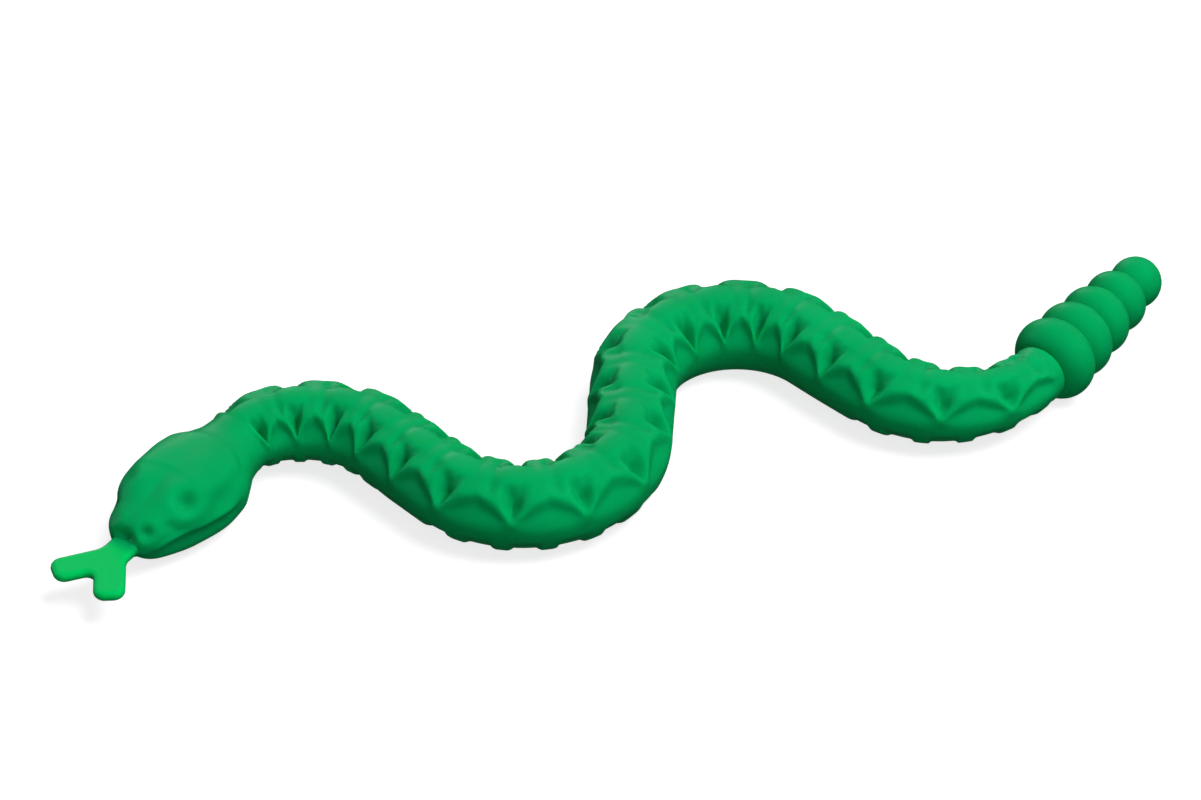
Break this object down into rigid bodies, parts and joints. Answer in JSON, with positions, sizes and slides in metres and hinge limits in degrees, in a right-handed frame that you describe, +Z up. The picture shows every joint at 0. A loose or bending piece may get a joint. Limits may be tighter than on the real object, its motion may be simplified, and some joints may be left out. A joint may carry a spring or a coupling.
{
  "type": "toy snake",
  "caption": "Small one-piece moulded plastic toy snake with an S-bent scaly body, broad flat head, forked tongue and ringed rattle, lying flat on its belly.",
  "frame": {"origin": "centre of the belly in the plane that the snake lies on, midway between the tongue's tip and the rattle's end", "axes": "+X from the head towards the rattle, along the length; +Z up, from the belly to the back; +Y to the right of a snake that looks along -X"},
  "size_m": [0.0558, 0.0137, 0.0041],
  "materials": {
    "green_plastic": "semi-gloss"
  },
  "bodies": {
    "root": {"snake": "green_plastic"}
  },
  "joints": []
}
